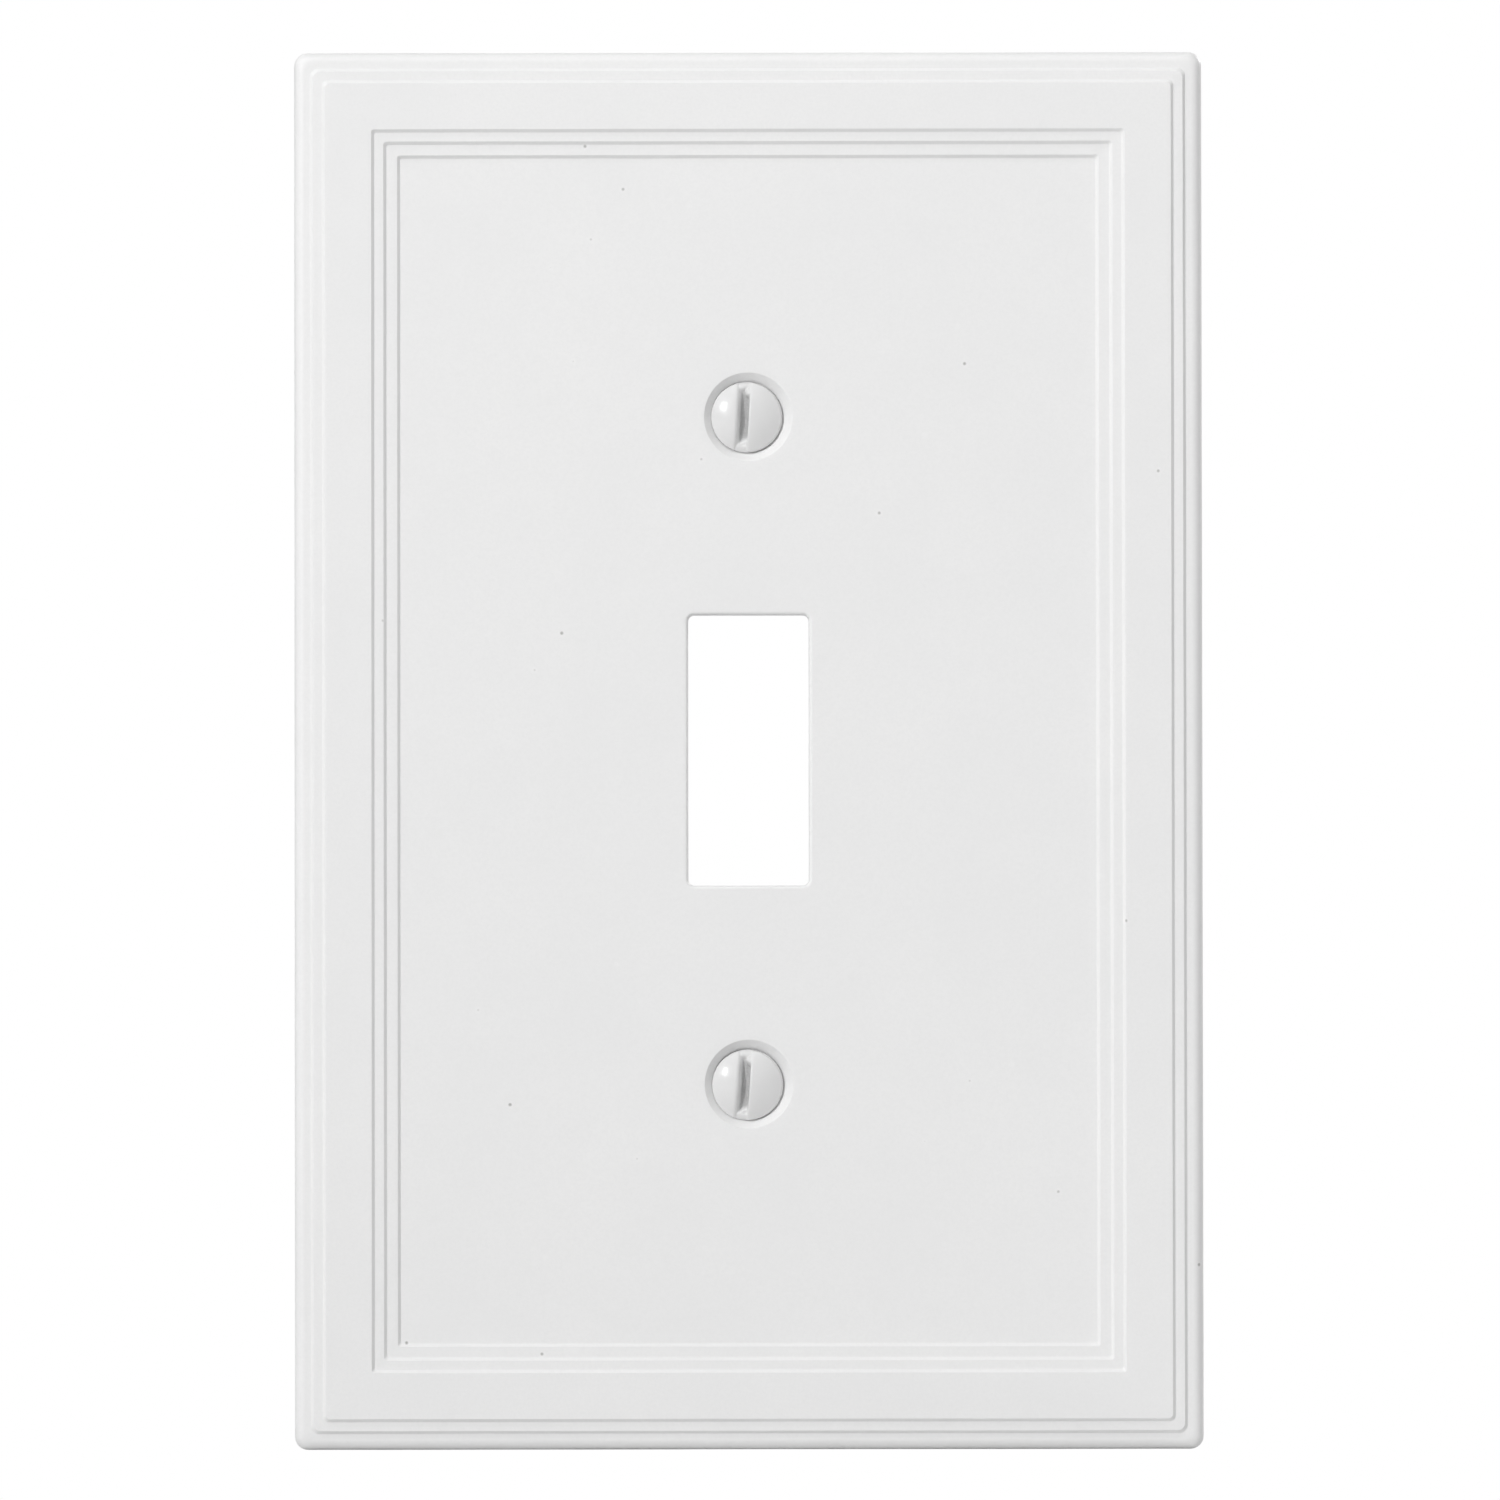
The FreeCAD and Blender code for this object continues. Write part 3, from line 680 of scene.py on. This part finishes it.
class Nodes:
    """A new node material, with short calls for the nodes that the materials here share."""

    def __init__(self, name):
        self.material = bpy.data.materials.new(name)
        self.material.use_nodes = True
        self.tree = self.material.node_tree
        self.shader = self.tree.nodes["Principled BSDF"]
        place = self.new("ShaderNodeTexCoord")
        scale = self.new("ShaderNodeVectorMath", operation="SCALE")
        self.tree.links.new(place.outputs["Object"], scale.inputs[0])
        scale.inputs["Scale"].default_value = 1 / MM
        self.millimetres = scale.outputs["Vector"]

    def new(self, kind, **settings):
        """A new node with some of its own settings made."""
        node = self.tree.nodes.new(kind)
        for name, setting in settings.items():
            setattr(node, name, setting)
        return node

    def feed(self, socket, source):
        """Join a source to a socket, or set the socket to a plain value."""
        if isinstance(source, bpy.types.NodeSocket):
            self.tree.links.new(source, socket)
        else:
            socket.default_value = source

    def noise(self, size, detail=2.0, roughness=0.5, distortion=0.0):
        """Noise from about 0 to 1 with features of a given size in millimetres."""
        node = self.new("ShaderNodeTexNoise")
        self.feed(node.inputs["Vector"], self.millimetres)
        for name, setting in (("Scale", 1 / size), ("Detail", detail), ("Roughness", roughness)):
            node.inputs[name].default_value = setting
        node.inputs["Distortion"].default_value = distortion
        return node.outputs["Fac"]

    def math(self, operation, *sources, clamp=False):
        """One sum on its sources."""
        node = self.new("ShaderNodeMath", operation=operation, use_clamp=clamp)
        for socket, source in zip(node.inputs, sources):
            self.feed(socket, source)
        return node.outputs["Value"]

    def span(self, source, low, high, to_low, to_high):
        """A source's range from low to high, stretched over another range and kept inside it."""
        node = self.new("ShaderNodeMapRange", clamp=True)
        for socket, setting in zip(node.inputs, (source, low, high, to_low, to_high)):
            self.feed(socket, setting)
        return node.outputs["Result"]

    def mix(self, share, first, second):
        """A colour between two linear colours."""
        node = self.new("ShaderNodeMix", data_type="RGBA")
        colours = [s for s in node.inputs if s.type == "RGBA"]
        self.feed(node.inputs[0], share)
        self.feed(colours[0], first)
        self.feed(colours[1], second)
        return next(s for s in node.outputs if s.type == "RGBA")

    def bump(self, *layers):
        """Stack bumps given as (height source, depth in millimetres), and join them to the shader."""
        normal = None
        for height, depth in layers:
            node = self.new("ShaderNodeBump")
            node.inputs["Distance"].default_value = depth * MM
            self.feed(node.inputs["Height"], height)
            if normal:
                self.feed(node.inputs["Normal"], normal)
            normal = node.outputs["Normal"]
        self.feed(self.shader.inputs["Normal"], normal)

    def set(self, **inputs):
        """Feed the shader's own inputs, named with underscores for spaces."""
        for name, source in inputs.items():
            self.feed(self.shader.inputs[name.replace("_", " ")], source)


def grey(level, warmth=0.0):
    """A linear grey, a little warmer than neutral if asked."""
    return (level * (1 + warmth), level, level * (1 - warmth), 1)


def specks(nodes, cell, radius):
    """Sparse pits in the paint: 1 in a pit's middle, with a soft ring round it as a second value."""
    node = nodes.new("ShaderNodeTexVoronoi", feature="F1")
    nodes.feed(node.inputs["Vector"], nodes.millimetres)
    node.inputs["Scale"].default_value = 1 / cell
    distance = nodes.math("MULTIPLY", node.outputs["Distance"], cell)
    pit = nodes.span(distance, radius * 0.35, radius, 1, 0)
    halo = nodes.span(distance, radius, radius * 2.2, 1, 0)
    return pit, nodes.math("MULTIPLY", halo, nodes.math("SUBTRACT", 1, pit))


def plate_paint():
    """Satin white paint, sprayed on: faint clouds, orange peel, fine grain and a few dark dents in
    paler rings.
    """
    n = Nodes("plate_paint")
    clouds = n.noise(11, 3, 0.55)
    grain = n.noise(0.28, 2, 0.6)
    peel = n.noise(1.1, 2, 0.45)
    pit, halo = specks(n, 5.4, 0.2)
    colour = n.mix(n.span(clouds, 0.3, 0.7, 0, 1), grey(0.826), grey(0.842, 0.002))
    colour = n.mix(n.span(grain, 0.35, 0.7, 0, 0.5), colour, grey(0.8))
    colour = n.mix(n.math("MULTIPLY", halo, 0.35), colour, grey(0.88))
    colour = n.mix(n.math("MULTIPLY", pit, 0.75), colour, grey(0.3, 0.03))
    facing = n.new("ShaderNodeSeparateXYZ")
    normal = n.new("ShaderNodeNewGeometry")
    n.feed(facing.inputs[0], normal.outputs["True Normal"])
    back = n.span(facing.outputs["Y"], 0.3, 0.8, 0, 1)
    spray = n.noise(2.3, 4, 0.65)
    mist = n.math("MULTIPLY", back, n.span(spray, 0.4, 0.65, 0.1, 0.6))
    colour = n.mix(mist, colour, grey(0.66, 0.015))
    n.set(Base_Color=colour, Roughness=n.span(peel, 0.3, 0.7, 0.4, 0.5), IOR=1.48)
    n.bump((peel, 0.012), (grain, 0.003), (n.math("MULTIPLY", pit, -1), 0.03))
    return n.material


def head_enamel():
    """Glossy white enamel. It is thin and dull at the bottom of the slot, where the metal greys it."""
    n = Nodes("head_enamel")
    thin = n.new("ShaderNodeAttribute", attribute_name="thin_paint").outputs["Fac"]
    flow = n.noise(0.9, 2, 0.5)
    scratches = n.noise(0.16, 3, 0.7, 0.4)
    clouds = n.noise(2.4, 2)
    colour = n.mix(n.span(clouds, 0.3, 0.7, 0, 1), grey(0.728), grey(0.752))
    worn = n.math("MULTIPLY", thin, n.span(scratches, 0.3, 0.7, 0.7, 1), clamp=True)
    colour = n.mix(worn, colour, grey(0.42))
    rough = n.math("ADD", n.span(flow, 0.3, 0.7, 0.17, 0.22), n.math("MULTIPLY", thin, 0.3))
    n.set(Base_Color=colour, Roughness=rough, IOR=1.45, Specular_IOR_Level=0.27)
    n.bump((flow, 0.01), (n.math("MULTIPLY", scratches, thin), 0.03))
    return n.material


def zinc_plate():
    """Bright zinc over rolled steel: a cool metal with fine lengthwise scuffs and duller patches."""
    n = Nodes("zinc_plate")
    patches = n.noise(1.8, 3, 0.6)
    scuffs = n.noise(0.12, 3, 0.7, 0.8)
    colour = n.mix(n.span(patches, 0.35, 0.65, 0, 1), (0.55, 0.56, 0.58, 1), (0.7, 0.71, 0.72, 1))
    colour = n.mix(n.span(scuffs, 0.5, 0.75, 0, 0.6), colour, (0.42, 0.42, 0.43, 1))
    n.set(Base_Color=colour, Metallic=1.0, Roughness=n.span(patches, 0.3, 0.7, 0.29, 0.44))
    n.bump((scuffs, 0.008), (patches, 0.01))
    return n.material


def polyethylene():
    """Natural polyethylene: milky, faintly waxy, and slightly see-through at its thin edges."""
    n = Nodes("polyethylene")
    clouds = n.noise(1.5, 3, 0.6)
    rub = n.noise(0.3, 2, 0.5)
    colour = n.mix(n.span(clouds, 0.3, 0.7, 0, 1), (0.74, 0.75, 0.72, 1), (0.83, 0.83, 0.8, 1))
    n.set(Base_Color=colour, Roughness=n.span(rub, 0.3, 0.7, 0.38, 0.55), IOR=1.51)
    n.set(Subsurface_Weight=0.5, Subsurface_Radius=(1.0, 1.0, 0.9), Subsurface_Scale=0.6 * MM)
    n.bump((clouds, 0.02), (rub, 0.006))
    return n.material


# ---------------------------------------------------------------- assembly


def dress(piece, body, node, material):
    """Put a piece on its body in place of its CAD node, and give it its finish."""
    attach(piece, body)
    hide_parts(node)
    piece.data.materials.clear()
    piece.data.materials.append(material)


paint, enamel, zinc, plastic = plate_paint(), head_enamel(), zinc_plate(), polyethylene()
dress(casting(), "plate", "face_plate", paint)
for which in SCREWS:
    dress(screw_head(which), which + "_screw", which + "_screw", enamel)
    dress(screw_thread(which), which + "_screw", which + "_screw", zinc)
    dress(washer(which), which + "_washer", which + "_captive_washer", plastic)

# ---------------------------------------------------------------- floor, light and camera

CAMERA_DISTANCE = 753  # from the camera to the panel
LENS = 200
CAMERA_RISE = -0.72  # degrees above level; the camera looks up a little
CAMERA_ROLL = 0.075  # degrees
AIM = (0.12, -PANEL, 0.02)
GROUND_GAP = 0.05  # from the plate's lower edge down to the floor
GROUND_FADE = (0.72, 0.87)  # how edge-on the floor is where it starts to pale, and where it is white
ROOM_BELOW, ROOM_ABOVE = 0.02, 0.546  # the surround's brightness straight down and straight up
# each lamp's direction from the plate, its distance and its size in metres, and its power in watts
LAMPS = {
    "key": ((-0.594, -0.727, 0.33), 2.2, (0.1, 0.34), 21.4),
    "overhead": ((0, -0.35, 0.5), 0.6, (0.5, 0.3), 0.9),
    "rear": ((0.8, 0.75, 0.5), 2.0, (0.5, 0.5), 17),
}


def pale_floor():
    """A plain floor just below the plate. It pales to white towards the horizon."""
    mesh = bmesh.new()
    bmesh.ops.create_circle(mesh, cap_ends=True, segments=64, radius=4.0)
    data = bpy.data.meshes.new("floor")
    mesh.to_mesh(data)
    mesh.free()
    floor = linked("floor", data)
    floor.location = (0, 0, PLATE_LOW.z - GROUND_GAP * MM)
    material = bpy.data.materials.new("pale_floor")
    material.use_nodes = True
    tree = material.node_tree
    shader, out = tree.nodes["Principled BSDF"], tree.nodes["Material Output"]
    shader.inputs["Base Color"].default_value = (0.67, 0.67, 0.67, 1)
    shader.inputs["Roughness"].default_value = 0.7
    glow = tree.nodes.new("ShaderNodeEmission")
    facing = tree.nodes.new("ShaderNodeLayerWeight")
    facing.inputs["Blend"].default_value = 0.5
    spread = tree.nodes.new("ShaderNodeMapRange")
    path = tree.nodes.new("ShaderNodeLightPath")
    seen = tree.nodes.new("ShaderNodeMath")
    seen.operation = "MULTIPLY"
    blend = tree.nodes.new("ShaderNodeMixShader")
    spread.inputs["From Min"].default_value = GROUND_FADE[0]
    spread.inputs["From Max"].default_value = GROUND_FADE[1]
    tree.links.new(facing.outputs["Facing"], spread.inputs["Value"])
    tree.links.new(spread.outputs["Result"], seen.inputs[0])
    tree.links.new(path.outputs["Is Camera Ray"], seen.inputs[1])
    tree.links.new(seen.outputs[0], blend.inputs[0])
    tree.links.new(shader.outputs[0], blend.inputs[1])
    tree.links.new(glow.outputs[0], blend.inputs[2])
    tree.links.new(blend.outputs[0], out.inputs["Surface"])
    data.materials.append(material)


def soft_room():
    """An even pale surround, brighter overhead than below, and plain white behind the plate."""
    world = bpy.data.worlds.new("soft_room")
    bpy.context.scene.world = world
    world.use_nodes = True
    tree = world.node_tree
    tree.nodes.clear()
    out = tree.nodes.new("ShaderNodeOutputWorld")
    place = tree.nodes.new("ShaderNodeTexCoord")
    split = tree.nodes.new("ShaderNodeSeparateXYZ")
    height = tree.nodes.new("ShaderNodeMapRange")
    height.inputs["From Min"].default_value = -1
    height.inputs["To Min"].default_value = ROOM_BELOW
    height.inputs["To Max"].default_value = ROOM_ABOVE
    lit = tree.nodes.new("ShaderNodeBackground")
    plain = tree.nodes.new("ShaderNodeBackground")
    lit.inputs["Color"].default_value = plain.inputs["Color"].default_value = (1, 1, 1, 1)
    path = tree.nodes.new("ShaderNodeLightPath")
    blend = tree.nodes.new("ShaderNodeMixShader")
    tree.links.new(place.outputs["Generated"], split.inputs[0])
    tree.links.new(split.outputs["Z"], height.inputs["Value"])
    tree.links.new(height.outputs["Result"], lit.inputs["Strength"])
    tree.links.new(path.outputs["Is Camera Ray"], blend.inputs[0])
    tree.links.new(lit.outputs[0], blend.inputs[1])
    tree.links.new(plain.outputs[0], blend.inputs[2])
    tree.links.new(blend.outputs[0], out.inputs["Surface"])


def softbox(name, direction, distance, size, strength):
    """A rectangular lamp that looks at the middle of the plate from a direction."""
    lamp = bpy.data.lights.new(name, "AREA")
    lamp.shape, lamp.size, lamp.size_y, lamp.energy = "RECTANGLE", size[0], size[1], strength
    box = bpy.data.objects.new(name, lamp)
    bpy.context.scene.collection.objects.link(box)
    box.location = Vector(direction).normalized() * distance
    box.rotation_euler = box.location.to_track_quat("Z", "Y").to_euler()


def camera():
    """Almost square on to the plate, and far enough away for a flat perspective."""
    data = bpy.data.cameras.new("camera")
    data.lens, data.sensor_width = LENS, 36
    eye = bpy.data.objects.new("camera", data)
    bpy.context.scene.collection.objects.link(eye)
    rise = math.radians(CAMERA_RISE)
    back = Vector((0, -math.cos(rise), math.sin(rise))) * CAMERA_DISTANCE
    eye.location = (Vector(AIM) + back) * MM
    eye.rotation_euler = (math.radians(90) - rise, math.radians(CAMERA_ROLL), 0)
    bpy.context.scene.camera = eye


pale_floor()
soft_room()
for name, settings in LAMPS.items():
    softbox(name, *settings)
camera()
bpy.context.scene.view_settings.view_transform = "Standard"
bpy.context.scene.view_settings.look = "None"
